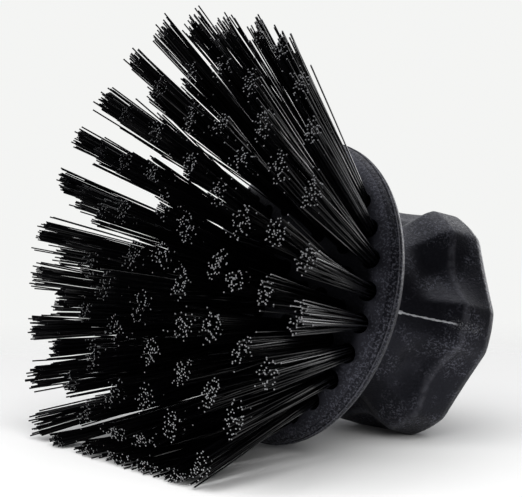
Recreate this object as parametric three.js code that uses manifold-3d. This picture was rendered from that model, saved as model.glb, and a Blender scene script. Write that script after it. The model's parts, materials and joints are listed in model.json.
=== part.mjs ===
// A round wheel brush, lying on its side as it is put down on a bench.
// A hollow six-lobed knob carries a domed, drilled head. Five rings of filament tufts and one centre
// tuft splay out of the head, are trimmed to one plane, and are drawn into it by rings of wire.
import * as THREE from "three";
import { mergeVertices } from "three/addons/utils/BufferGeometryUtils.js";
import Module from "manifold-3d";

const wasm = await Module();
wasm.setup();

// Driving dimensions, in millimetres and degrees.
// "Height" runs along the brush's axis from the rim: positive to the bristle tips, negative to the knob.
const RIM_RADIUS = 49.4;
const DOME_HEIGHT = 11;
const DOME_EDGE_RADIUS = 48.1;
const LIP_SHOULDER_RADIUS = 48.9;
const PLATE_BACK = -3;
const SPIGOT_RADIUS = 45;
const GAP = 0.3;

const NECK_RADIUS = 26;
const KNOB_RADIUS = 39.4;
const KNOB_END = -53.5;
const KNOB_END_FLAT_RADIUS = 33;
const HANDLE_SEGMENTS = 72;
const HEAD_SEGMENTS = 40;
const DOME_SHARES = [0.98, 0.93, 0.82, 0.55];

// The knob's lobes and the hollows between them. Depths are measured from the rim towards the knob.
const LOBES = 6;
const LOBE_HALF_TIP = 10;
const ROUND_DEPTH = 23;
const LOBED_DEPTH = 37;
const HOLLOW_DEPTH = 3.7;
const HOLLOWS_START = 24;
const HOLLOWS_FULL = 37;
const HOLLOWS_FADE = 39;
const HOLLOWS_END = 49;
const HOLLOW_LEFT_AT_END = 0.06;
const SCOOP_DEPTH = 1.8;
const SCOOP_START = 26;
const SCOOP_FULL = 34;
const SCOOP_FADE = 35.5;
const SCOOP_END = 39;

const BORE_MOUTH_RADIUS = 3.25;
const BORE_FLOOR_RADIUS = 2.6;
const BORE_DEPTH = 8;
const WIRE_HOLE_RADIUS = 1.1;
const HOLE_SEGMENTS = 6;
const CUT_CLEARANCE = 5;
const WIRE_HOLE_CLEARANCE = 1;

const TRIM_HEIGHT = 53.6;
const TUFT_ROOT_RADIUS = 2.2;
const TUFT_TIP_WIDTH = 8.6;
const TUFT_TIP_DEPTH = 6.2;
const TUFT_SEGMENTS = 8;
const TUFT_ROOT_DEPTH = 7;
const TAIL_SHARE = 0.3;
const BEND_POWER = 1.5;

const STRAIGHT_SPANS = 2;
const BENT_SPANS = 5;

const WIRE_RADIUS = 0.4;
const WIRE_SIDES = 4;
const WIRE_HEIGHT = PLATE_BACK - 1;

const LYING_TILT = 14.93;

// Each ring of tufts: how many, where its holes and its tips are, and the angle of its first tuft,
// measured from straight down towards +X. floor is the least height its tips keep over the bench.
const RINGS = {
  outer: { count: 27, holeRadius: 42.5, tipRadius: 74.8, start: 12.8, floor: 0 },
  second: { count: 21, holeRadius: 34, tipRadius: 58.3, start: 13.6, floor: 7 },
  third: { count: 15, holeRadius: 25.5, tipRadius: 43, start: 13.9, floor: 0 },
  fourth: { count: 9, holeRadius: 17, tipRadius: 29.8, start: 8.4, floor: 0 },
  fifth: { count: 5, holeRadius: 8.5, tipRadius: 17, start: 57.5, floor: 0 },
  centre: { count: 1, holeRadius: 0, tipRadius: 0, start: 0, floor: 0 },
};

const blackPlastic = new THREE.MeshStandardMaterial({ color: 0x17171c, roughness: 0.55, metalness: 0 });
const headPlastic = new THREE.MeshStandardMaterial({ color: 0x1b1b20, roughness: 0.6, metalness: 0 });
const filament = new THREE.MeshStandardMaterial({ color: 0x0b0b0d, roughness: 0.3, metalness: 0 });
const steel = new THREE.MeshStandardMaterial({ color: 0xa8abb0, roughness: 0.35, metalness: 0.9 });

const radians = THREE.MathUtils.degToRad;
const smoothstep = THREE.MathUtils.smoothstep;

// Closed three.js geometry to a manifold-3d solid, and back.
function toSolid(geometry) {
  const bare = geometry.clone();
  bare.deleteAttribute("normal");
  bare.deleteAttribute("uv");
  const merged = mergeVertices(bare, 1e-4);
  return new wasm.Manifold(
    new wasm.Mesh({
      numProp: 3,
      vertProperties: merged.attributes.position.array,
      triVerts: new Uint32Array(merged.index.array),
    }),
  );
}

function toGeometry(solid) {
  const mesh = solid.getMesh();
  const geometry = new THREE.BufferGeometry();
  geometry.setAttribute("position", new THREE.BufferAttribute(mesh.vertProperties, 3));
  geometry.setIndex(new THREE.BufferAttribute(mesh.triVerts, 1));
  geometry.computeVertexNormals();
  return geometry;
}

// Moves every vertex of a geometry to where place(vertex) puts it.
function reshape(geometry, place) {
  const position = geometry.attributes.position;
  const vertex = new THREE.Vector3();
  for (let i = 0; i < position.count; i++) {
    vertex.fromBufferAttribute(position, i);
    place(vertex);
    position.setXYZ(i, vertex.x, vertex.y, vertex.z);
  }
  return geometry;
}

// A solid of revolution about the brush's axis, from [radius, height] pairs in order of height.
function turned(profile, segments) {
  const points = profile.map(([radius, height]) => new THREE.Vector2(radius, height));
  return new THREE.LatheGeometry(points, segments).rotateX(Math.PI / 2);
}

function domeHeight(radius) {
  return DOME_HEIGHT * Math.sqrt(1 - (radius / RIM_RADIUS) ** 2);
}

// Angle from the middle of the nearest lobe, in degrees.
function fromLobe(degrees) {
  const half = 180 / LOBES;
  return Math.abs(THREE.MathUtils.euclideanModulo(degrees + half, 2 * half) - half);
}

// Radius of the knob's outline at an angle, as a share of the radius on its lobes' round tips. The
// sides between two lobes are flat.
function lobeOutline(degrees) {
  const half = 180 / LOBES;
  const away = fromLobe(degrees);
  if (away <= LOBE_HALF_TIP) {
    return 1;
  }
  return Math.cos(radians(half - LOBE_HALF_TIP)) / Math.cos(radians(half - away));
}

// How far a point lies across the hollow between two lobes: 0 on a lobe's tip, 1 in mid-hollow.
function hollowShare(degrees) {
  const across = Math.max(0, fromLobe(degrees) - LOBE_HALF_TIP) / (180 / LOBES - LOBE_HALF_TIP);
  return 0.5 - 0.5 * Math.cos(Math.PI * across);
}

// How deep the hollows are at a depth below the rim: nothing at the neck, full at the knob's shoulder,
// and nearly nothing again at its end. A scoop for the fingertips deepens them just before the shoulder.
function hollowDepth(depth) {
  const fade = (1 - HOLLOW_LEFT_AT_END) * smoothstep(depth, HOLLOWS_FADE, HOLLOWS_END);
  const hollow = HOLLOW_DEPTH * smoothstep(depth, HOLLOWS_START, HOLLOWS_FULL) * (1 - fade);
  const scoop = smoothstep(depth, SCOOP_START, SCOOP_FULL) - smoothstep(depth, SCOOP_FADE, SCOOP_END);
  return hollow + SCOOP_DEPTH * scoop;
}

// Knob, neck and flange in one hollow moulding, with a recess that takes the head's spigot. Its lip
// carries on the dome's curve down to the rim.
function handleGeometry() {
  const lip = [LIP_SHOULDER_RADIUS, DOME_EDGE_RADIUS + GAP].map((radius) => [radius, domeHeight(radius)]);
  const outside = [
    [0, KNOB_END],
    [KNOB_END_FLAT_RADIUS, KNOB_END],
    [37.2, -52.2],
    [KNOB_RADIUS, -48.7],
    [39.2, -43.5],
    [39, -39],
    [36.7, -35.5],
    [31.2, -30.5],
    [27.6, -25.5],
    [NECK_RADIUS, -21],
    [NECK_RADIUS + 2, -16],
    [33.5, -11.5],
    [41, -7.8],
    [45.8, -5.2],
    [48.5, -2.6],
    [RIM_RADIUS, -0.6],
    [RIM_RADIUS, 0.4],
    ...lip,
  ];
  const inside = [
    [DOME_EDGE_RADIUS + GAP, -GAP],
    [SPIGOT_RADIUS + GAP, -GAP],
    [SPIGOT_RADIUS + GAP, PLATE_BACK - GAP],
    [38.5, PLATE_BACK - GAP],
    [37, -6.2],
    [19, -16],
    [19, -38],
    [12, -44],
    [0, -45.5],
  ];
  const geometry = turned([...outside, ...inside], HANDLE_SEGMENTS);
  const outer = new Set(outside.map(([radius, height]) => `${radius.toFixed(2)} ${height.toFixed(2)}`));
  return reshape(geometry, (vertex) => {
    const radius = Math.hypot(vertex.x, vertex.y);
    const depth = -vertex.z;
    const isOuter = outer.has(`${radius.toFixed(2)} ${vertex.z.toFixed(2)}`);
    if (!isOuter || radius === 0) {
      return;
    }
    const degrees = THREE.MathUtils.radToDeg(Math.atan2(vertex.x, -vertex.y)) + 180 / LOBES;
    const lobed = smoothstep(depth, ROUND_DEPTH, LOBED_DEPTH);
    const outline = 1 + lobed * (lobeOutline(degrees) - 1);
    const scale = outline - (hollowDepth(depth) * hollowShare(degrees)) / radius;
    vertex.x *= scale;
    vertex.y *= scale;
  });
}

// The line that a tuft follows: its hole's mouth on the dome, its tip on the trim plane, and the
// directions across it, tangent to its ring and out along its radius.
function tuftLine(ring, index) {
  const angle = radians(ring.start + (360 * index) / ring.count);
  const outward = new THREE.Vector3(Math.sin(angle), -Math.cos(angle), 0);
  const tangent = new THREE.Vector3(Math.cos(angle), Math.sin(angle), 0);
  const mouth = outward.clone().multiplyScalar(ring.holeRadius).setZ(domeHeight(ring.holeRadius));
  const tip = outward.clone().multiplyScalar(ring.tipRadius).setZ(TRIM_HEIGHT);
  const direction = tip.clone().sub(mouth).normalize();
  return { mouth, tip, direction, outward, tangent };
}

function ringLines(ring) {
  return Array.from({ length: ring.count }, (_, index) => tuftLine(ring, index));
}

// The drilled hole of one tuft: a tapered bore, then a funnel to the small hole for the wire.
function holeSolid(line) {
  const through = (line.mouth.z - PLATE_BACK + WIRE_HOLE_CLEARANCE) / line.direction.z;
  const profile = [
    [0, -through],
    [WIRE_HOLE_RADIUS, -through],
    [BORE_FLOOR_RADIUS, -BORE_DEPTH],
    [BORE_MOUTH_RADIUS, 0],
    [BORE_MOUTH_RADIUS, CUT_CLEARANCE],
    [0, CUT_CLEARANCE],
  ];
  const points = profile.map(([radius, height]) => new THREE.Vector2(radius, height));
  const turn = new THREE.Quaternion().setFromUnitVectors(new THREE.Vector3(0, 1, 0), line.direction);
  const cutter = new THREE.LatheGeometry(points, HOLE_SEGMENTS).applyQuaternion(turn);
  return toSolid(cutter.translate(line.mouth.x, line.mouth.y, line.mouth.z));
}

// The domed plate that holds the tufts, with a spigot behind it that sits in the handle.
function headGeometry() {
  const shoulder = DOME_SHARES.map((share) => {
    const radius = RIM_RADIUS * share;
    return [Math.min(radius, DOME_EDGE_RADIUS), domeHeight(radius)];
  });
  const profile = [
    [0, PLATE_BACK],
    [SPIGOT_RADIUS, PLATE_BACK],
    [SPIGOT_RADIUS, 0],
    [DOME_EDGE_RADIUS, 0],
    ...shoulder,
    [0, DOME_HEIGHT],
  ];
  let solid = toSolid(turned(profile, HEAD_SEGMENTS));
  for (const ring of Object.values(RINGS)) {
    for (const line of ringLines(ring)) {
      solid = solid.subtract(holeSolid(line));
    }
  }
  return toGeometry(solid);
}

// Least height of a geometry's vertices over the bench, for a geometry whose origin is at a place.
function leastHeight(geometry, bench, place = new THREE.Vector3()) {
  const position = geometry.attributes.position;
  const vertex = new THREE.Vector3();
  let least = Infinity;
  for (let i = 0; i < position.count; i++) {
    vertex.fromBufferAttribute(position, i).add(place);
    least = Math.min(least, vertex.dot(bench.up) - bench.height);
  }
  return least;
}

// One tuft, about its hole's mouth: round in the hole, opening to an oblong tip in the trim plane.
// lift raises the tip, and the tuft bends up to it in an even curve. A tail, if it has one, runs
// down the small hole to the wire.
function tuftShape(line, bench, { spans, lift, tail }) {
  const free = line.tip.distanceTo(line.mouth);
  const across = new THREE.Vector3().crossVectors(line.tangent, line.direction);
  const tailEnd = [[0, -tail], [TAIL_SHARE, -tail], [TAIL_SHARE, -TUFT_ROOT_DEPTH]];
  const profile = tail > 0 ? tailEnd : [[0, -TUFT_ROOT_DEPTH]];
  profile.push([1, -TUFT_ROOT_DEPTH]);
  for (let span = 1; span <= spans; span++) {
    profile.push([1, (free * span) / spans]);
  }
  profile.push([0, free]);
  const points = profile.map(([share, distance]) => new THREE.Vector2(share, distance));
  return reshape(new THREE.LatheGeometry(points, TUFT_SEGMENTS), (vertex) => {
    const { x, y: distance, z } = vertex;
    const spread = Math.max(0, distance) / free;
    const halfWidth = THREE.MathUtils.lerp(TUFT_ROOT_RADIUS, TUFT_TIP_WIDTH / 2, spread);
    const halfDepth = THREE.MathUtils.lerp(TUFT_ROOT_RADIUS, TUFT_TIP_DEPTH / 2, spread);
    const outward = across.clone().lerp(line.outward, spread);
    vertex
      .copy(line.direction)
      .multiplyScalar(distance)
      .addScaledVector(line.tangent, x * halfWidth)
      .addScaledVector(outward, z * halfDepth)
      .addScaledVector(bench.up, lift * spread ** BEND_POWER);
  });
}

// A tuft that lies on the bench, or on the tufts below it, bends up to its ring's floor.
function tuftGeometry(line, floor, bench, tail = 0) {
  const straight = tuftShape(line, bench, { spans: STRAIGHT_SPANS, lift: 0, tail });
  const least = leastHeight(straight, bench, line.mouth);
  const lift = floor - least;
  return lift > 0 ? tuftShape(line, bench, { spans: BENT_SPANS, lift, tail }) : straight;
}

// How far down its hole a tuft's line meets the wire behind the plate.
function wireDepth(line) {
  return (line.mouth.z - WIRE_HEIGHT) / line.direction.z;
}

// The loop of wire behind the plate that draws a ring's tufts in. It passes under every hole.
function wireGeometry(ring) {
  const line = tuftLine(ring, 0);
  const foot = line.mouth.clone().addScaledVector(line.direction, -wireDepth(line));
  return new THREE.TorusGeometry(Math.hypot(foot.x, foot.y), WIRE_RADIUS, WIRE_SIDES, ring.count)
    .rotateZ(radians(ring.start - 90))
    .translate(0, 0, WIRE_HEIGHT);
}

// An inner ring in one piece: its tufts, each with a tail that runs down to the ring's wire.
function joinedRingGeometry(ring, bench) {
  let solid = toSolid(wireGeometry(ring));
  for (const line of ringLines(ring)) {
    const { x, y, z } = line.mouth;
    const tuft = tuftGeometry(line, ring.floor, bench, wireDepth(line)).translate(x, y, z);
    solid = solid.add(toSolid(tuft));
  }
  return toGeometry(solid);
}

function part(name, geometry, material, place = new THREE.Vector3()) {
  const mesh = new THREE.Mesh(geometry, material);
  mesh.name = name;
  mesh.position.copy(place);
  return mesh;
}

// The brush in its own frame: the rim's centre at the origin, +Z out through the bristles.
function wheelBrush(tilt) {
  const brush = new THREE.Group();
  const handle = handleGeometry();
  const up = new THREE.Vector3(0, Math.cos(tilt), Math.sin(tilt));
  const bench = { up, height: leastHeight(handle, { up, height: 0 }) };
  brush.add(part("handle", handle, blackPlastic));
  brush.add(part("head", headGeometry(), headPlastic));
  for (const name of ["outer", "second"]) {
    const ring = RINGS[name];
    ringLines(ring).forEach((line, index) => {
      const number = String(index + 1).padStart(2, "0");
      const geometry = tuftGeometry(line, ring.floor, bench);
      brush.add(part(`tuft_${name}_${number}`, geometry, filament, line.mouth));
    });
    brush.add(part(`draw_wire_${name}`, wireGeometry(ring), steel));
  }
  for (const name of ["third", "fourth", "fifth"]) {
    brush.add(part(`tufts_${name}_ring`, joinedRingGeometry(RINGS[name], bench), filament));
  }
  const centre = tuftLine(RINGS.centre, 0);
  brush.add(part("tuft_centre", tuftGeometry(centre, 0, bench), filament, centre.mouth));
  return brush;
}

// Lay the brush on its side, and put the origin on the bench under the middle of its box.
const tilt = radians(LYING_TILT);
const brush = wheelBrush(tilt);
brush.rotation.x = Math.PI / 2 - tilt;
const lying = new THREE.Group();
lying.add(brush);
const box = new THREE.Box3().setFromObject(lying, true);
const middle = box.getCenter(new THREE.Vector3());
brush.position.set(-middle.x, -middle.y, -box.min.z);

export default lying;
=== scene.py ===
"""A round wheel brush lying on its side: fine shapes, single filaments and finishes around the CAD frame.

Sizes are in millimetres. Most shapes are made in the brush's own frame: the rim's centre is the origin,
"height" runs along the brush's axis towards the bristle tips, and ring angles are measured from
straight down towards +X. Each piece is then laid down as the CAD's mount says.
"""

import json
import math

import bpy
import numpy as np
from mathutils import Matrix, Vector


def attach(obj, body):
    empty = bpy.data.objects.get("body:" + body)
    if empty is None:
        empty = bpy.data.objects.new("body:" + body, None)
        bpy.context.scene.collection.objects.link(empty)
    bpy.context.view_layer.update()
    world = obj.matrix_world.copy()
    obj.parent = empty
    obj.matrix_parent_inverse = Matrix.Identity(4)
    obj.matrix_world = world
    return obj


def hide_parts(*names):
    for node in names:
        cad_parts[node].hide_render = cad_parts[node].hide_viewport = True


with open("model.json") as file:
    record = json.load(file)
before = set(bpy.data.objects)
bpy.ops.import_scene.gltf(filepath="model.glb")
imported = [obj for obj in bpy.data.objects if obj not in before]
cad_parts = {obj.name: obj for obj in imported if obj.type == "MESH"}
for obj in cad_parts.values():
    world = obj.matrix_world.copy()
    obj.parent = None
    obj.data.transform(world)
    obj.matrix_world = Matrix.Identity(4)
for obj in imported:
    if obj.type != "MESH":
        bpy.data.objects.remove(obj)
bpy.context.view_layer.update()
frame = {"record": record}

MM = 0.001
SEED = 41

# The handle: knob, neck and flange.
RIM_RADIUS = 49.4
DOME_HEIGHT = 11.0
DOME_EDGE_RADIUS = 48.1
PLATE_BACK = -3.0
SPIGOT_RADIUS = 45.0
GAP = 0.3
BEAD_RADIUS = 0.4
LIP_SINK = 0.02
LIP_GAP = 0.03
KNOB_RADIUS = 39.4
NECK_RADIUS = 26.0
KNOB_END = -53.5
BAND_HEIGHT = -39.0
LOBES = 6
LOBE_HALF_TIP = 10.0
LOBE_SOFTNESS = 1.2
LOBED_START = 23.0
LOBED_FULL = 37.0
HOLLOW_DEPTH = 3.7
HOLLOWS_START = 24.0
HOLLOWS_FULL = 37.0
HOLLOWS_FADE = 39.0
HOLLOWS_END = 49.0
HOLLOW_LEFT_AT_END = 0.06
SCOOP_DEPTH = 1.8
SCOOP_START = 26.0
SCOOP_FULL = 34.0
SCOOP_FADE = 35.5
SCOOP_END = 39.0
PROFILE_STEP = 0.5
PROFILE_SOFTENING = 1
HANDLE_COLUMNS = 240

# The moulding's parting line, which runs up both sides through the lobes at 90 degrees.
FLASH_ANGLES = (90.0, -90.0)
FLASH_HALF_WIDTH = 0.45
FLASH_HEIGHT = 0.35
FLASH_FROM = -38.0
FLASH_TO = -3.0

# The drilled head.
HEAD_COLUMNS = 144
HEAD_ROWS = 26
HEAD_ROWS_TOWARDS_EDGE = 1.3
BORE_MOUTH_RADIUS = 3.25
BORE_FLOOR_RADIUS = 2.6
BORE_DEPTH = 8.0
BORE_SIDES = 28
WIRE_HOLE_RADIUS = 1.1

# The tufts. LEAN is how far a whole tuft's tip strays from its ring, one standard deviation.
LEAN = 1.3
FILAMENTS = 52
FILAMENTS_VARY = 6
FILAMENT_RADIUS = 0.24
FILAMENT_SIDES = 6
ROOT_DEPTH = 7.0
ROOT_SPREAD = 2.05
ROOT_LIMIT = 1.1
TIP_HALF_LENGTH = 4.9
TIP_HALF_WIDTH = 4.0
LENGTH_RANGE = (0.82, 1.12)
WIDTH_RANGE = (0.75, 1.2)
STRAY_SHARE = 0.08
STRAY_RANGE = (1.25, 1.7)
SHORT_SHARE = 0.14
SHORT_RANGE = (0.86, 0.98)
TRIM_SCATTER = 0.6
BOW = 0.3
DISC_POWER = 0.62
DISC_NUDGE = 0.13
STRAIGHT_SPANS = 4
BENT_SPANS = 9
BEND_POWER = 1.5
PRESSED_THICKNESS = 3.6
PRESSED_SPLAY = 0.09
PRESSED_BACK = 0.32
GLOSS_LEAST = 0.05
GLOSS_POWER = 3.5
GOLDEN_ANGLE = math.pi * (3 - math.sqrt(5))

# The wires that draw the tufts in.
WIRE_RADIUS = 0.4
WIRE_HEIGHT = PLATE_BACK - 1.0
WIRE_SIDES = 8
HAIRPIN_REACH = 1.6
HAIRPIN_SIDE = 0.5
HAIRPIN_RISE = 0.25
HAIRPIN_TOP = 0.35
HAIRPIN_CLEARANCE = 0.2

# Each ring of tufts: how many, where its holes and its tips are, the angle of its first tuft, how high
# its tips are trimmed, and the least height that its tips keep over the bench.
RINGS = {
    "outer": dict(count=27, hole_radius=42.5, tip_radius=74.8, start=12.8, trim=53.6, floor=0.0),
    "second": dict(count=21, hole_radius=34.0, tip_radius=58.3, start=13.6, trim=53.4, floor=7.0),
    "third": dict(count=15, hole_radius=25.5, tip_radius=43.0, start=13.9, trim=53.0, floor=0.0),
    "fourth": dict(count=9, hole_radius=17.0, tip_radius=29.8, start=8.4, trim=52.6, floor=0.0),
    "fifth": dict(count=5, hole_radius=8.5, tip_radius=17.0, start=57.5, trim=52.2, floor=0.0),
    "centre": dict(count=1, hole_radius=0.0, tip_radius=0.0, start=0.0, trim=52.0, floor=0.0),
}

# Finishes, as linear colours.
# PALE_SPECK is dust together with a painted highlight on the grain.
PALE_SPECK = (0.095, 0.097, 0.12, 1)
DEEP_BLACK = (0.001, 0.001, 0.0012, 1)
# A pale edge colour: wear, and a painted highlight along the rim and the knob's crease.
EDGE_WEAR_AND_HIGHLIGHT = (0.13, 0.13, 0.15, 1)
FLASH_WHITE = (0.7, 0.71, 0.74, 1)
BLUE_SHEEN = (0.78, 0.8, 1.0, 1)
HANDLE_SHINE = 0.26
HANDLE_DARKENING = 0.5
DOME_SHINE = 0.5
AMONG_TUFTS_SHINE = 0.08

# Distances from the axis where the finish changes. Inside them the head gets painted shade among the tufts.
# The dust specks, with their painted grain highlights, are on the handle's flange too.
TUFTS_RADIUS = 42.0
CLEAR_RADIUS = 45.0
DUST_AND_GLINT_START_RADIUS = 44.5
DUST_AND_GLINT_FULL_RADIUS = 47.0

# The camera and the studio. The camera aims at a point given from the rim's centre, along the world's axes.
CAMERA_AIM_FROM_RIM = Vector((-7.0, -8.37, 13.74))
CAMERA_DISTANCE = 512.4
CAMERA_AZIMUTH = math.radians(54.68)
CAMERA_ELEVATION = math.radians(3.45)
CAMERA_LENS = 110.34
FLOOR_RADIUS = 0.45
FLOOR_SOLID_RADIUS = 0.13
FLOOR_LIGHT_WATTS = 92.0
FLOOR_LIGHT_SIZE = 1.6
DIM_SIDE = Vector((0.99, -0.09, 0.05))
WORLD_BRIGHT = 1.0
WORLD_DIM = 0.05


# --- The brush's own frame, found from the CAD's mount on the knob's end ---


def brush_frame():
    mount = frame["record"]["mounts"][0]
    bristle_way = -Vector(mount["axis"])
    right = Vector((1, 0, 0))
    upward = bristle_way.cross(right)
    rim_centre = Vector(mount["pos_m"]) - bristle_way * KNOB_END * MM
    turn = Matrix((right, upward, bristle_way)).transposed()
    return Matrix.Translation(rim_centre) @ turn.to_4x4()


BRUSH = brush_frame()
BENCH_UP = np.array(BRUSH.to_3x3().transposed() @ Vector((0, 0, 1)))
RIM_OVER_BENCH = BRUSH.translation.z / MM


def over_bench(points):
    """Heights over the bench, in millimetres, of points in the brush's frame."""
    return points @ BENCH_UP + RIM_OVER_BENCH


# --- Meshes ---


def make_piece(name, points, faces, materials, replaced, smooth_angle=35.0):
    """A piece of the object, from points in the brush's frame, that rides on the CAD. Like the CAD's, its
    object sits at the origin, and its place is in its mesh."""
    turn = np.array(BRUSH.to_3x3())
    placed = np.asarray(points) * MM @ turn.T + np.array(BRUSH.translation)
    mesh = bpy.data.meshes.new(name)
    mesh.from_pydata(placed.tolist(), [], faces)
    for material in materials:
        mesh.materials.append(material)
    mesh.shade_smooth()
    mesh.set_sharp_from_angle(angle=math.radians(smooth_angle))
    piece = bpy.data.objects.new(name, mesh)
    bpy.context.scene.collection.objects.link(piece)
    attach(piece, "root")
    if replaced:
        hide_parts(replaced)
    return piece


def spline(points, step):
    """Points about a step apart on a smooth curve through [radius, height] points, without its last."""
    knots = np.array(points, float)
    padded = np.vstack([2 * knots[0] - knots[1], knots, 2 * knots[-1] - knots[-2]])
    curve = []
    for before, start, end, after in zip(padded, padded[1:], padded[2:], padded[3:]):
        count = max(1, math.ceil(np.linalg.norm(end - start) / step))
        for t in np.arange(count) / count:
            slope = 0.5 * (end - before)
            next_slope = 0.5 * (after - start)
            curve.append(
                (2 * t**3 - 3 * t**2 + 1) * start
                + (t**3 - 2 * t**2 + t) * slope
                + (3 * t**2 - 2 * t**3) * end
                + (t**3 - t**2) * next_slope
            )
    return curve


def softened(points, passes):
    """A profile with its corners rounded by repeated averaging. Its ends stay."""
    curve = np.array(points, float)
    for _ in range(passes):
        curve[1:-1] = 0.25 * curve[:-2] + 0.5 * curve[1:-1] + 0.25 * curve[2:]
    return curve


def turned_points(profile, angles, shape=None):
    """Points of a solid of revolution whose profile starts and ends on the axis. shape, if given, takes
    rows of radii and heights, and the columns' angles, and returns the radii as they should be."""
    radius = profile[1:-1, 0][:, None] * np.ones_like(angles)
    height = profile[1:-1, 1][:, None] * np.ones_like(angles)
    if shape:
        radius = shape(radius, height, angles)
    rows = np.stack([radius * np.sin(angles), -radius * np.cos(angles), height], axis=-1)
    ends = np.array([[0, 0, profile[0, 1]], [0, 0, profile[-1, 1]]])
    return np.vstack([ends[:1], rows.reshape(-1, 3), ends[1:]])


def turned_faces(rows, columns):
    """Faces of a closed solid of revolution with a point at each end of its axis."""

    def at(row, column):
        return 1 + row * columns + column % columns

    last = 1 + rows * columns
    faces = []
    for column in range(columns):
        faces.append((0, at(0, column + 1), at(0, column)))
        faces.append((last, at(rows - 1, column), at(rows - 1, column + 1)))
    for row in range(rows - 1):
        for column in range(columns):
            faces.append((at(row, column), at(row, column + 1), at(row + 1, column + 1), at(row + 1, column)))
    return faces


def tube_faces(rings, sides, closed):
    """Faces of a tube: a closed loop, or a tube with a flat cap at each end."""

    def at(ring, side):
        return (ring % rings) * sides + side % sides

    faces = []
    for ring in range(rings if closed else rings - 1):
        for side in range(sides):
            faces.append((at(ring, side), at(ring, side + 1), at(ring + 1, side + 1), at(ring + 1, side)))
    if not closed:
        faces.append(tuple(at(0, side) for side in reversed(range(sides))))
        faces.append(tuple(at(rings - 1, side) for side in range(sides)))
    return faces


# --- Materials ---


def node(tree, kind, inputs=None, **settings):
    """A shader node with its settings, its input values, and links from any sockets given."""
    made = tree.nodes.new(kind)
    for name, value in settings.items():
        setattr(made, name, value)
    for name, value in (inputs or {}).items():
        if isinstance(value, bpy.types.NodeSocket):
            tree.links.new(value, made.inputs[name])
        else:
            made.inputs[name].default_value = value
    return made


def brush_place(tree):
    """The shaded point in the brush's own frame, in metres."""
    world = node(tree, "ShaderNodeTexCoord").outputs["Object"]
    inputs = {"Vector": world, "Location": BRUSH.translation, "Rotation": BRUSH.to_euler()}
    return node(tree, "ShaderNodeMapping", inputs, vector_type="TEXTURE").outputs["Vector"]


def noise(tree, place, size_mm, detail=2.0, roughness=0.5):
    """Noise whose features measure about size_mm."""
    inputs = {"Vector": place, "Scale": 1 / (size_mm * MM), "Detail": detail, "Roughness": roughness}
    return node(tree, "ShaderNodeTexNoise", inputs).outputs["Fac"]


def ramp(tree, value, low, high, to_low=0.0, to_high=1.0):
    """value taken smoothly from low..high to to_low..to_high, and held outside."""
    inputs = {"Value": value, "From Min": low, "From Max": high, "To Min": to_low, "To Max": to_high}
    return node(tree, "ShaderNodeMapRange", inputs, interpolation_type="SMOOTHSTEP").outputs["Result"]


def maths(tree, operation, first, second=0.0):
    return node(tree, "ShaderNodeMath", {0: first, 1: second}, operation=operation).outputs[0]


def blend_colours(tree, share, first, second):
    inputs = {"Factor": share, "A": first, "B": second}
    made = node(tree, "ShaderNodeMix", data_type="RGBA")
    colour_inputs = {s.name: s for s in made.inputs if s.enabled}
    for name, value in inputs.items():
        if isinstance(value, bpy.types.NodeSocket):
            tree.links.new(value, colour_inputs[name])
        else:
            colour_inputs[name].default_value = value
    return next(s for s in made.outputs if s.enabled)


def principled(name):
    material = bpy.data.materials.new(name)
    material.use_nodes = True
    tree = material.node_tree
    return material, tree, tree.nodes["Principled BSDF"]


def slot_colour(slot):
    """The record's base colour for a slot, as a shader colour."""
    found = next(m for m in frame["record"]["materials"] if m["slot"] == slot)
    return (*found["base_color"], 1.0)


def times(tree, *factors):
    """The product of several shader values."""
    product = factors[0]
    for factor in factors[1:]:
        product = maths(tree, "MULTIPLY", product, factor)
    return product


def flash_share(tree, place, axes):
    """Where the moulding's flash shows white: a fine ragged line over the neck with blobs along its upper
    part, and a rough patch on the lobe."""
    off_line = maths(tree, "ABSOLUTE", axes["Y"])
    fine = ramp(tree, noise(tree, place, 1.6, 2.0, 0.7), 0.38, 0.62, 0.18 * MM, 0.36 * MM)
    blobs = ramp(tree, noise(tree, place, 3.0, 2.0, 0.6), 0.46, 0.58, 0.0, 0.6 * MM)
    blobs = times(tree, blobs, ramp(tree, axes["Z"], -29.0 * MM, -26.0 * MM))
    reach = maths(tree, "MAXIMUM", fine, blobs)
    on_line = times(
        tree,
        maths(tree, "LESS_THAN", off_line, reach),
        ramp(tree, axes["Z"], -37.5 * MM, -35.5 * MM),
        ramp(tree, axes["Z"], -7.0 * MM, -9.0 * MM),
    )
    rough = times(
        tree,
        ramp(tree, off_line, 2.6 * MM, 0.4 * MM),
        ramp(tree, axes["Z"], -48.0 * MM, -43.0 * MM),
        ramp(tree, axes["Z"], -34.0 * MM, -38.0 * MM),
        ramp(tree, noise(tree, place, 0.5, 2.0, 0.7), 0.5, 0.62, 0.0, 0.25),
    )
    return maths(tree, "MAXIMUM", times(tree, on_line, 0.9), rough)


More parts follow.
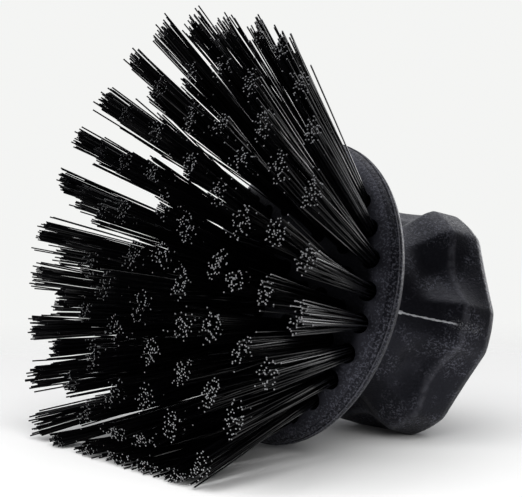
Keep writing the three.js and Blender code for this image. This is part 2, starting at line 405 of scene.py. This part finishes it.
def moulded_plastic(slot, with_flash):
    """Black moulded polypropylene with a blue cast: a pebbled satin skin that catches pale specks, partly
    dust and partly painted grain highlights, more of them on the shoulder by the rim; a worn rim and knob
    crease lightened as a painted edge highlight; on the head, painted shade among the tufts; and, where the
    moulds met, a ragged whitish flash."""
    material, tree, shader = principled(slot)
    place = brush_place(tree)
    axes = node(tree, "ShaderNodeSeparateXYZ", {"Vector": place}).outputs
    pebble = noise(tree, place, 0.9, 3.0, 0.6)
    grit = noise(tree, place, 0.75, 2.0, 0.7)
    patches = noise(tree, place, 12.0, 3.0, 0.6)
    plan = node(tree, "ShaderNodeCombineXYZ", {"X": axes["X"], "Y": axes["Y"]}).outputs["Vector"]
    radius = node(tree, "ShaderNodeVectorMath", {0: plan}, operation="LENGTH").outputs["Value"]

    # Pale specks, partly dust and partly painted highlights on the grain, thickest on the shoulder by the
    # rim.
    shoulder = ramp(tree, radius, DUST_AND_GLINT_START_RADIUS * MM, DUST_AND_GLINT_FULL_RADIUS * MM)
    dust_and_glint_patches = maths(tree, "MAXIMUM", ramp(tree, patches, 0.46, 0.62, 0.04, 1.0), shoulder)
    dust_and_glint_specks = times(tree, ramp(tree, grit, 0.5, 0.62), dust_and_glint_patches, 0.85)
    darkening = HANDLE_DARKENING if with_flash else 0.0
    base = blend_colours(tree, darkening, slot_colour(slot), DEEP_BLACK)
    colour = blend_colours(tree, dust_and_glint_specks, base, PALE_SPECK)
    if with_flash:
        shader.inputs["Specular IOR Level"].default_value = HANDLE_SHINE
    else:
        # Painted shade: the dome among the tufts is darkened nearly to black where the tufts would shade it,
        # and its shine is lowered there too.
        painted_shade_among_tufts = ramp(tree, radius, CLEAR_RADIUS * MM, TUFTS_RADIUS * MM, 0.0, 0.9)
        colour = blend_colours(tree, painted_shade_among_tufts, colour, DEEP_BLACK)
        shine = ramp(tree, radius, TUFTS_RADIUS * MM, CLEAR_RADIUS * MM, AMONG_TUFTS_SHINE, DOME_SHINE)
        tree.links.new(shine, shader.inputs["Specular IOR Level"])

    # Edge wear with a painted highlight: a pale line along the rim's bead and the knob's crease.
    rim = ramp(tree, radius, 49.25 * MM, 49.4 * MM, 0.0, 0.6)
    off_crease = maths(tree, "ABSOLUTE", maths(tree, "SUBTRACT", axes["Z"], BAND_HEIGHT * MM))
    crease = ramp(tree, off_crease, 1.7 * MM, 0.3 * MM, 0.0, 0.4)
    edges = maths(tree, "MAXIMUM", rim, crease)
    wear_and_painted_highlight = times(tree, edges, ramp(tree, noise(tree, place, 2.2, 3.0), 0.35, 0.65, 0.25, 0.9))
    colour = blend_colours(tree, wear_and_painted_highlight, colour, EDGE_WEAR_AND_HIGHLIGHT)
    if with_flash:
        colour = blend_colours(tree, flash_share(tree, place, axes), colour, FLASH_WHITE)

    tree.links.new(colour, shader.inputs["Base Color"])
    tree.links.new(ramp(tree, pebble, 0.3, 0.7, 0.36, 0.56), shader.inputs["Roughness"])
    shader.inputs["Specular Tint"].default_value = BLUE_SHEEN
    skin = maths(tree, "ADD", pebble, times(tree, grit, 0.6))
    bump = {"Height": skin, "Strength": 0.75, "Distance": 0.2 * MM}
    tree.links.new(node(tree, "ShaderNodeBump", bump).outputs["Normal"], shader.inputs["Normal"])
    return material


def filament_side(slot):
    """Extruded filament. It keeps its gloss near the head and is dulled by use towards its tips. The
    attribute gloss says how glossy each filament is."""
    material, tree, shader = principled(slot)
    place = brush_place(tree)
    from_rim = node(tree, "ShaderNodeVectorMath", {0: place}, operation="LENGTH").outputs["Value"]
    gloss = ramp(tree, from_rim, 46.0 * MM, 84.0 * MM, 1.0, 0.22)
    varied = node(tree, "ShaderNodeAttribute", attribute_name="gloss").outputs["Fac"]
    shader.inputs["Base Color"].default_value = slot_colour(slot)
    shader.inputs["Roughness"].default_value = 0.2
    tree.links.new(times(tree, gloss, varied), shader.inputs["Specular IOR Level"])
    return material


def filament_end(slot):
    """The cut end of a filament: matt and grey, some ends paler than others."""
    material, tree, shader = principled(slot + "_end")
    place = brush_place(tree)
    shader.inputs["Base Color"].default_value = (0.3, 0.3, 0.31, 1)
    shader.inputs["Roughness"].default_value = 0.55
    shine = ramp(tree, noise(tree, place, 0.8, 2.0), 0.35, 0.65, 0.2, 1.0)
    tree.links.new(shine, shader.inputs["Specular IOR Level"])
    return material


def drawn_wire(slot):
    """Drawn stainless wire with fine scratches along its turns."""
    material, tree, shader = principled(slot)
    place = brush_place(tree)
    streaks = noise(tree, place, 0.35, 4.0, 0.7)
    dark = slot_colour(slot)
    pale = tuple(min(1.0, 1.5 * channel) for channel in dark[:3]) + (1.0,)
    shader.inputs["Metallic"].default_value = 1.0
    tree.links.new(blend_colours(tree, streaks, dark, pale), shader.inputs["Base Color"])
    tree.links.new(ramp(tree, streaks, 0.3, 0.7, 0.22, 0.42), shader.inputs["Roughness"])
    return material


# --- The handle ---


def across_lobe(degrees):
    """Angle from the nearest lobe's middle, in degrees."""
    half = 180 / LOBES
    return np.abs((degrees + half) % (2 * half) - half)


def lobe_outline(degrees):
    """Radius of the knob's outline, as a share of the radius on its lobes' round tips. The sides between
    two lobes are flat, and averaging over a few degrees rounds the corners."""
    half = 180 / LOBES
    total = 0
    offsets = np.linspace(-LOBE_SOFTNESS, LOBE_SOFTNESS, 7)
    for offset in offsets:
        away = across_lobe(degrees + offset)
        side = math.cos(math.radians(half - LOBE_HALF_TIP)) / np.cos(np.radians(half - away))
        total = total + np.where(away <= LOBE_HALF_TIP, 1.0, side)
    return total / len(offsets)


def hollow_share(degrees):
    """0 on a lobe's tip, 1 in the middle of the hollow between two lobes."""
    half = 180 / LOBES
    across = np.clip(across_lobe(degrees) - LOBE_HALF_TIP, 0, None) / (half - LOBE_HALF_TIP)
    return np.sin(0.5 * np.pi * across)


def smoothstep(value, low, high):
    share = np.clip((value - low) / (high - low), 0, 1)
    return share * share * (3 - 2 * share)


def hollow_depth(depth):
    """How deep the hollows are at a depth below the rim, with a scoop just before the knob's shoulder."""
    fade = (1 - HOLLOW_LEFT_AT_END) * smoothstep(depth, HOLLOWS_FADE, HOLLOWS_END)
    full = HOLLOW_DEPTH * smoothstep(depth, HOLLOWS_START, HOLLOWS_FULL) * (1 - fade)
    scoop = smoothstep(depth, SCOOP_START, SCOOP_FULL) - smoothstep(depth, SCOOP_FADE, SCOOP_END)
    return full + SCOOP_DEPTH * scoop


def handle_profile():
    """The handle's outline from the knob's end up to the lip, and down its recess and hollow. Returns it
    with the count of its outer points."""
    knob_end = [[0, KNOB_END], [33, KNOB_END]]
    knob_round = [[33, KNOB_END], [36.1, -52.8], [38.4, -51.1], [KNOB_RADIUS, -48.7]]
    band = [[KNOB_RADIUS, -48.7], [39.2, -43.5], [39, BAND_HEIGHT]]
    neck = [
        [39, BAND_HEIGHT],
        [36.7, -35.5],
        [31.2, -30.5],
        [27.6, -25.5],
        [NECK_RADIUS, -21],
        [NECK_RADIUS + 2, -16],
        [33.5, -11.5],
        [41, -7.8],
        [45.8, -5.2],
        [48.5, -2.6],
        [RIM_RADIUS, -0.8],
    ]
    outside = []
    for stretch in (knob_end, knob_round, band, neck):
        outside += spline(stretch, PROFILE_STEP)
    outside = softened(outside, PROFILE_SOFTENING)
    bead_angles = np.linspace(-0.4 * math.pi, 0.5 * math.pi, 7)
    bead_centre = RIM_RADIUS - BEAD_RADIUS
    bead = [[bead_centre + BEAD_RADIUS * math.cos(a), BEAD_RADIUS * math.sin(a)] for a in bead_angles]
    lip_radii = np.linspace(bead_centre - 0.05, DOME_EDGE_RADIUS + LIP_GAP, 4)
    lip = [[radius, dome_height(radius) - LIP_SINK] for radius in lip_radii]
    inside = [
        [DOME_EDGE_RADIUS + GAP, -GAP],
        [SPIGOT_RADIUS + GAP, -GAP],
        [SPIGOT_RADIUS + GAP, PLATE_BACK - GAP],
        [38.5, PLATE_BACK - GAP],
        [37, -6.2],
        [19, -16],
        [19, -38],
        [12, -44],
        [0, -45.5],
    ]
    return np.vstack([outside, bead, lip, inside]), len(outside)


def handle_angles():
    """The handle's columns, closer together across the parting line."""
    degrees = set(np.round(np.arange(HANDLE_COLUMNS) * 360 / HANDLE_COLUMNS - 180, 3))
    for middle in FLASH_ANGLES:
        for offset in (0.2, 0.45, 0.75, 1.1):
            degrees |= {middle - offset, middle + offset}
    return np.radians(np.array(sorted(degrees)))


def flash_ridge(radius, height, angles):
    """How far the parting line's flash stands out of the handle: a thin ridge of ragged height."""
    draw = np.random.default_rng(SEED)
    ragged = np.convolve(draw.uniform(0.1, 1.0, len(radius) + 2), (0.25, 0.5, 0.25), "valid")[:, None]
    reach = smoothstep(height, FLASH_FROM, FLASH_FROM + 8) * smoothstep(-height, -FLASH_TO, 3 - FLASH_TO)
    ridge = 0
    for middle in FLASH_ANGLES:
        away = radius * np.radians(np.abs(np.degrees(angles) - middle)) / FLASH_HALF_WIDTH
        ridge = ridge + np.clip(1 - away * away, 0, None)
    return FLASH_HEIGHT * ragged * reach * ridge


def make_handle():
    profile, outer_rows = handle_profile()
    angles = handle_angles()

    def shape(radius, height, angles):
        """The outer rows' radii, with the knob's lobes and hollows, and the flash."""
        degrees = np.degrees(angles) + 180 / LOBES
        lobed = smoothstep(-height, LOBED_START, LOBED_FULL)
        shaped = radius * (1 + lobed * (lobe_outline(degrees) - 1))
        shaped = shaped - hollow_depth(-height) * hollow_share(degrees)
        shaped = np.maximum(shaped, 0.02) + flash_ridge(radius, height, angles)
        outer = np.arange(len(radius))[:, None] < outer_rows - 1
        return np.where(outer, shaped, radius)

    points = turned_points(profile, angles, shape)
    faces = turned_faces(len(profile) - 2, len(angles))
    plastic = moulded_plastic("handle_plastic", with_flash=True)
    return make_piece("handle_moulding", points, faces, [plastic], "handle", 50.0)


# --- The drilled head ---


def dome_height(radius):
    return DOME_HEIGHT * math.sqrt(1 - (radius / RIM_RADIUS) ** 2)


def tuft_line(ring, index):
    """A tuft's line: its hole's mouth on the dome, its tip, its direction, and the directions tangent to
    its ring and out along its radius."""
    angle = math.radians(ring["start"] + 360 * index / ring["count"])
    outward = np.array([math.sin(angle), -math.cos(angle), 0])
    tangent = np.array([math.cos(angle), math.sin(angle), 0])
    mouth = outward * ring["hole_radius"] + [0, 0, dome_height(ring["hole_radius"])]
    tip = outward * ring["tip_radius"] + [0, 0, ring["trim"]]
    direction = (tip - mouth) / np.linalg.norm(tip - mouth)
    return dict(mouth=mouth, tip=tip, direction=direction, outward=outward, tangent=tangent)


def all_lines():
    return [tuft_line(ring, index) for ring in RINGS.values() for index in range(ring["count"])]


def bore_cutters():
    """The tapered bores with their funnels and wire holes, in one mesh."""
    points = []
    faces = []
    sides = np.arange(BORE_SIDES) * 2 * math.pi / BORE_SIDES
    for line in all_lines():
        through = (line["mouth"][2] - PLATE_BACK + 1) / line["direction"][2]
        profile = [
            (WIRE_HOLE_RADIUS, -through),
            (BORE_FLOOR_RADIUS, -BORE_DEPTH),
            (BORE_MOUTH_RADIUS - 0.25, -1.0),
            (BORE_MOUTH_RADIUS - 0.15, 0.0),
            (BORE_MOUTH_RADIUS, 5.0),
        ]
        across = np.cross(line["direction"], line["tangent"])
        start = len(points)
        for radius, along in profile:
            centre = line["mouth"] + line["direction"] * along
            for side in sides:
                points.append(centre + radius * (math.cos(side) * line["tangent"] + math.sin(side) * across))
        loop = tube_faces(len(profile), BORE_SIDES, closed=False)
        faces += [tuple(start + corner for corner in face) for face in loop]
    return points, faces


def plain_object(name, points, faces):
    mesh = bpy.data.meshes.new(name)
    mesh.from_pydata((np.asarray(points) * MM).tolist(), [], faces)
    made = bpy.data.objects.new(name, mesh)
    bpy.context.scene.collection.objects.link(made)
    return made


def make_head():
    """The domed plate, drilled by one boolean."""
    edge = [[0, PLATE_BACK], [SPIGOT_RADIUS, PLATE_BACK], [SPIGOT_RADIUS, 0], [DOME_EDGE_RADIUS - 0.25, 0]]
    wall = [[DOME_EDGE_RADIUS, 0.25], [DOME_EDGE_RADIUS, dome_height(DOME_EDGE_RADIUS) - 0.1]]
    least = math.acos(DOME_EDGE_RADIUS / RIM_RADIUS)
    shares = (np.arange(1, HEAD_ROWS) / HEAD_ROWS) ** HEAD_ROWS_TOWARDS_EDGE
    angles = least + (0.5 * math.pi - least) * shares
    dome = [[RIM_RADIUS * math.cos(a), DOME_HEIGHT * math.sin(a)] for a in angles]
    profile = np.array(edge + wall + dome + [[0, DOME_HEIGHT]])
    columns = np.arange(HEAD_COLUMNS) * 2 * math.pi / HEAD_COLUMNS
    blank_faces = turned_faces(len(profile) - 2, HEAD_COLUMNS)
    blank = plain_object("head_blank", turned_points(profile, columns), blank_faces)
    cutters = plain_object("bore_cutters", *bore_cutters())
    cut = blank.modifiers.new("bores", "BOOLEAN")
    cut.operation = "DIFFERENCE"
    cut.solver = "EXACT"
    cut.object = cutters
    drilled = blank.evaluated_get(bpy.context.evaluated_depsgraph_get()).to_mesh()
    points = np.array([vertex.co for vertex in drilled.vertices]) / MM
    faces = [tuple(polygon.vertices) for polygon in drilled.polygons]
    bpy.data.objects.remove(blank)
    bpy.data.objects.remove(cutters)
    plastic = moulded_plastic("head_plastic", with_flash=False)
    return make_piece("head_plate", points, faces, [plastic], "head", 30.0)


# --- The tufts ---


def spread_in_disc(count, draw):
    """Evenly spread points in a unit disc, each nudged a little."""
    index = np.arange(count) + 0.5
    radius = (index / count) ** DISC_POWER
    angle = index * GOLDEN_ANGLE + draw.uniform(0, 2 * math.pi)
    disc = np.column_stack([radius * np.cos(angle), radius * np.sin(angle)])
    return disc + draw.normal(0, DISC_NUDGE, disc.shape)


def tip_places(disc, ring, line, draw):
    """Where a tuft's filaments end: an oblong cluster in the trim plane, with a few strays and short ones."""
    count = len(disc)
    half_length = TIP_HALF_LENGTH * draw.uniform(*LENGTH_RANGE)
    half_width = TIP_HALF_WIDTH * draw.uniform(*WIDTH_RANGE)
    turn = draw.normal(0, 0.5) if ring["tip_radius"] > 50 else draw.uniform(0, math.pi)
    along = math.cos(turn) * line["tangent"] + math.sin(turn) * line["outward"]
    across = math.cos(turn) * line["outward"] - math.sin(turn) * line["tangent"]
    stray = np.where(draw.random(count) < STRAY_SHARE, draw.uniform(*STRAY_RANGE, count), 1.0)
    edge = np.linalg.norm(disc, axis=1)
    wide = stray * (1 + 0.08 * draw.normal(size=count) * edge)
    spot = disc * wide[:, None]
    lean = draw.normal(0, LEAN, 2)
    middle = line["tip"] + lean[0] * line["tangent"] + lean[1] * line["outward"]
    tips = middle + half_length * spot[:, :1] * along + half_width * spot[:, 1:] * across
    tips[:, 2] += draw.normal(0, TRIM_SCATTER, count)
    short = draw.random(count) < SHORT_SHARE
    return tips, np.where(short, draw.uniform(*SHORT_RANGE, count), 1.0)


def filament_paths(ring, line, draw):
    """Centre points of a tuft's filaments, filament by filament. Those that would reach below the bench,
    or into the tufts that lie on it, bend up."""
    count = FILAMENTS + int(draw.integers(-FILAMENTS_VARY, FILAMENTS_VARY + 1))
    disc = spread_in_disc(count, draw)
    across = np.cross(line["direction"], line["tangent"])
    root = line["mouth"] - line["direction"] * ROOT_DEPTH
    packed = disc / np.maximum(1, np.linalg.norm(disc, axis=1) / ROOT_LIMIT)[:, None]
    roots = root + ROOT_SPREAD * (packed[:, :1] * line["tangent"] - packed[:, 1:] * across)
    tips, reach = tip_places(disc, ring, line, draw)
    tips = roots + (tips - roots) * reach[:, None]

    least = ring["floor"] + FILAMENT_RADIUS + 0.06 + PRESSED_THICKNESS * draw.random(count)
    lift = np.clip(least - over_bench(tips), 0, None)
    pressed = lift.mean()
    aside = (tips - line["tip"]) @ line["tangent"]
    tips = tips + np.outer(aside, line["tangent"]) * PRESSED_SPLAY * pressed
    tips[:, 2] -= PRESSED_BACK * pressed
    lift = np.clip(least - over_bench(tips), 0, None)
    spans = BENT_SPANS if lift.max() > 0.5 else STRAIGHT_SPANS
    share = np.linspace(0, 1, spans + 1)[None, :, None]
    paths = roots[:, None, :] * (1 - share) + tips[:, None, :] * share

    sideways = draw.normal(0, BOW, (count, 2))
    bow = sideways[:, :1] * line["tangent"] + sideways[:, 1:] * across
    paths = paths + bow[:, None, :] * np.sin(math.pi * share)
    paths = paths + (lift[:, None, None] * share**BEND_POWER) * BENCH_UP
    sunk = np.clip(FILAMENT_RADIUS + 0.05 - over_bench(paths), 0, None)
    return paths + sunk[:, :, None] * BENCH_UP


def make_tuft(name, ring, line, replaced, materials):
    draw = np.random.default_rng([SEED, sum(name.encode())])
    paths = filament_paths(ring, line, draw)
    count, rings = paths.shape[:2]
    ways = paths[:, -1] - paths[:, 0]
    ways = ways / np.linalg.norm(ways, axis=1)[:, None]
    side = np.cross(ways, line["tangent"] + 0.01)
    side = side / np.linalg.norm(side, axis=1)[:, None]
    other = np.cross(ways, side)
    turn = np.arange(FILAMENT_SIDES) * 2 * math.pi / FILAMENT_SIDES
    circle = side[:, None] * np.cos(turn)[None, :, None] + other[:, None] * np.sin(turn)[None, :, None]
    points = paths[:, :, None, :] + FILAMENT_RADIUS * circle[:, None, :, :]

    tube = tube_faces(rings, FILAMENT_SIDES, closed=False)
    stride = rings * FILAMENT_SIDES
    faces = []
    for start in range(0, count * stride, stride):
        faces += [tuple(corner + start for corner in face) for face in tube]
    piece = make_piece(name, points.reshape(-1, 3), faces, materials, replaced, 50.0)
    for number in range(count):
        piece.data.polygons[(number + 1) * len(tube) - 1].material_index = 1
    gloss = np.repeat(GLOSS_LEAST + (1 - GLOSS_LEAST) * draw.random(count) ** GLOSS_POWER, stride)
    piece.data.attributes.new("gloss", "FLOAT", "POINT").data.foreach_set("value", gloss)
    return piece


def make_tufts():
    materials = [filament_side("filament"), filament_end("filament")]
    for ring_name, ring in RINGS.items():
        for index in range(ring["count"]):
            name = f"tuft_{ring_name}_{index + 1:02d}"
            if ring_name in ("outer", "second"):
                replaced = name
            elif ring_name == "centre":
                replaced = "tuft_centre"
            else:
                replaced = f"tufts_{ring_name}_ring"
            make_tuft(f"{name}_filaments", ring, tuft_line(ring, index), replaced, materials)


# --- The wires ---


def wire_path(ring):
    """A ring's wire: round behind the plate, with a hairpin up each hole to the root of its tuft."""
    knots = []
    for index in range(ring["count"]):
        line = tuft_line(ring, index)
        depth = (line["mouth"][2] - WIRE_HEIGHT) / line["direction"][2]
        foot = line["mouth"] - line["direction"] * depth
        apex = line["mouth"] - line["direction"] * (ROOT_DEPTH + WIRE_RADIUS + HAIRPIN_CLEARANCE)
        knots += [
            foot - HAIRPIN_REACH * line["tangent"],
            foot - HAIRPIN_SIDE * line["tangent"] + HAIRPIN_RISE * (apex - foot),
            apex - HAIRPIN_TOP * line["tangent"],
            apex + HAIRPIN_TOP * line["tangent"],
            foot + HAIRPIN_SIDE * line["tangent"] + HAIRPIN_RISE * (apex - foot),
            foot + HAIRPIN_REACH * line["tangent"],
        ]
    return knots


def make_wire(name, ring, replaced, material):
    knots = wire_path(ring)
    loop = knots[-1:] + knots + knots[:2]
    centres = np.array(spline(loop, 0.7))
    first = next(i for i, p in enumerate(centres) if np.allclose(p, knots[0]))
    last = len(centres) - 1 - next(i for i, p in enumerate(centres[::-1]) if np.allclose(p, knots[0]))
    centres = centres[first:last]
    ways = np.roll(centres, -1, axis=0) - np.roll(centres, 1, axis=0)
    ways = ways / np.linalg.norm(ways, axis=1)[:, None]
    outward = centres * [1, 1, 0]
    outward = outward / np.linalg.norm(outward, axis=1)[:, None]
    side = outward - ways * np.sum(outward * ways, axis=1)[:, None]
    side = side / np.linalg.norm(side, axis=1)[:, None]
    other = np.cross(ways, side)
    turn = np.arange(WIRE_SIDES) * 2 * math.pi / WIRE_SIDES
    circle = side[:, None] * np.cos(turn)[None, :, None] + other[:, None] * np.sin(turn)[None, :, None]
    points = centres[:, None] + WIRE_RADIUS * circle
    faces = tube_faces(len(centres), WIRE_SIDES, closed=True)
    return make_piece(name, points.reshape(-1, 3), faces, [material], replaced, 60.0)


def make_wires():
    steel = drawn_wire("wire")
    for name in ("outer", "second"):
        make_wire(f"draw_wire_{name}_loops", RINGS[name], f"draw_wire_{name}", steel)
    for name in ("third", "fourth", "fifth"):
        make_wire(f"draw_wire_{name}_loops", RINGS[name], f"tufts_{name}_ring", steel)


# --- Floor, light and camera ---


def camera_back():
    """The direction from the object to the camera."""
    flat = math.cos(CAMERA_ELEVATION)
    sideways = math.sin(CAMERA_AZIMUTH) * flat
    return Vector((sideways, -math.cos(CAMERA_AZIMUTH) * flat, math.sin(CAMERA_ELEVATION)))


def make_floor():
    """A round pale floor that fades into the background."""
    material, tree, shader = principled("studio_floor")
    place = node(tree, "ShaderNodeTexCoord").outputs["Object"]
    mottle = noise(tree, place, 60.0, 2.0)
    paper = blend_colours(tree, mottle, (0.195, 0.195, 0.194, 1), (0.205, 0.205, 0.204, 1))
    tree.links.new(paper, shader.inputs["Base Color"])
    shader.inputs["Roughness"].default_value = 0.7
    shader.inputs["Specular IOR Level"].default_value = 0.2
    distance = node(tree, "ShaderNodeVectorMath", {0: place}, operation="LENGTH").outputs["Value"]
    fade = ramp(tree, distance, FLOOR_SOLID_RADIUS, FLOOR_RADIUS * 0.9, 1.0, 0.0)
    tree.links.new(fade, shader.inputs["Alpha"])
    turn = np.arange(64) * 2 * math.pi / 64
    mesh = bpy.data.meshes.new("studio_floor")
    edge = [(FLOOR_RADIUS * math.cos(a), FLOOR_RADIUS * math.sin(a), 0) for a in turn]
    mesh.from_pydata(edge, [], [range(len(edge))])
    mesh.materials.append(material)
    floor = bpy.data.objects.new("studio_floor", mesh)
    bpy.context.scene.collection.objects.link(floor)
    return floor


def make_world():
    """A plain pale backdrop. It lights the object most from the far side, and least from the camera's
    right."""
    world = bpy.data.worlds.new("studio")
    bpy.context.scene.world = world
    world.use_nodes = True
    tree = world.node_tree
    tree.nodes.clear()
    way = node(tree, "ShaderNodeTexCoord").outputs["Generated"]
    towards_dim = node(tree, "ShaderNodeVectorMath", {0: way, 1: DIM_SIDE}, operation="DOT_PRODUCT")
    light = ramp(tree, towards_dim.outputs["Value"], -0.55, 0.75, WORLD_BRIGHT, WORLD_DIM)
    seen = node(tree, "ShaderNodeLightPath").outputs["Is Camera Ray"]
    plain = node(tree, "ShaderNodeBackground", {"Color": (0.905, 0.91, 0.9, 1), "Strength": 1.0})
    studio = node(tree, "ShaderNodeBackground", {"Color": (0.95, 0.96, 1.0, 1), "Strength": light})
    shown = node(tree, "ShaderNodeMixShader", {0: seen, 1: studio.outputs[0], 2: plain.outputs[0]})
    node(tree, "ShaderNodeOutputWorld", {"Surface": shown.outputs[0]})


def softbox(name, place_mm, aim_mm, width, height, watts):
    lamp = bpy.data.lights.new(name, "AREA")
    lamp.shape = "RECTANGLE"
    lamp.size = width
    lamp.size_y = height
    lamp.energy = watts
    made = bpy.data.objects.new(name, lamp)
    bpy.context.scene.collection.objects.link(made)
    made.location = Vector(place_mm) * MM
    made.rotation_euler = (Vector(aim_mm) - Vector(place_mm)).to_track_quat("-Z", "Y").to_euler()
    return made


def light_only(lamps, name, objects):
    """Make lamps light nothing but these objects."""
    lit = bpy.data.collections.new(name)
    for lit_object in objects:
        lit.objects.link(lit_object)
    for lamp in lamps:
        lamp.light_linking.receiver_collection = lit


def make_lights(floor):
    """Softboxes overhead, on the head's side and beyond the knob, and one that lights only the floor."""
    brush_lamps = [
        softbox("overhead_softbox", (-150, 250, 800), (0, 0, 40), 0.7, 0.7, 2.2),
        softbox("head_fill", (150, -850, 300), (0, 0, 50), 0.5, 0.5, 1.2),
        softbox("knob_side_softbox", (-200, 900, 180), (0, 0, 60), 0.7, 0.5, 3.2),
    ]
    size = FLOOR_LIGHT_SIZE
    floor_lamp = softbox("floor_softbox", (385, -330, 750), (0, 0, 0), size, size, FLOOR_LIGHT_WATTS)
    pieces = [made for made in bpy.context.scene.objects if made.type == "MESH" and made is not floor]
    light_only(brush_lamps, "lit_by_brush_softboxes", pieces)
    light_only([floor_lamp], "lit_by_floor_softbox", [floor])


def make_camera():
    camera = bpy.data.objects.new("camera", bpy.data.cameras.new("camera"))
    bpy.context.scene.collection.objects.link(camera)
    back = camera_back()
    camera.data.lens = CAMERA_LENS
    camera.data.clip_start = 0.01
    aim = BRUSH.translation + CAMERA_AIM_FROM_RIM * MM
    camera.location = aim + back * CAMERA_DISTANCE * MM
    camera.rotation_euler = (-back).to_track_quat("-Z", "Y").to_euler()
    bpy.context.scene.camera = camera


make_handle()
make_head()
make_tufts()
make_wires()
make_world()
make_lights(make_floor())
make_camera()
bpy.context.scene.view_settings.view_transform = "Standard"
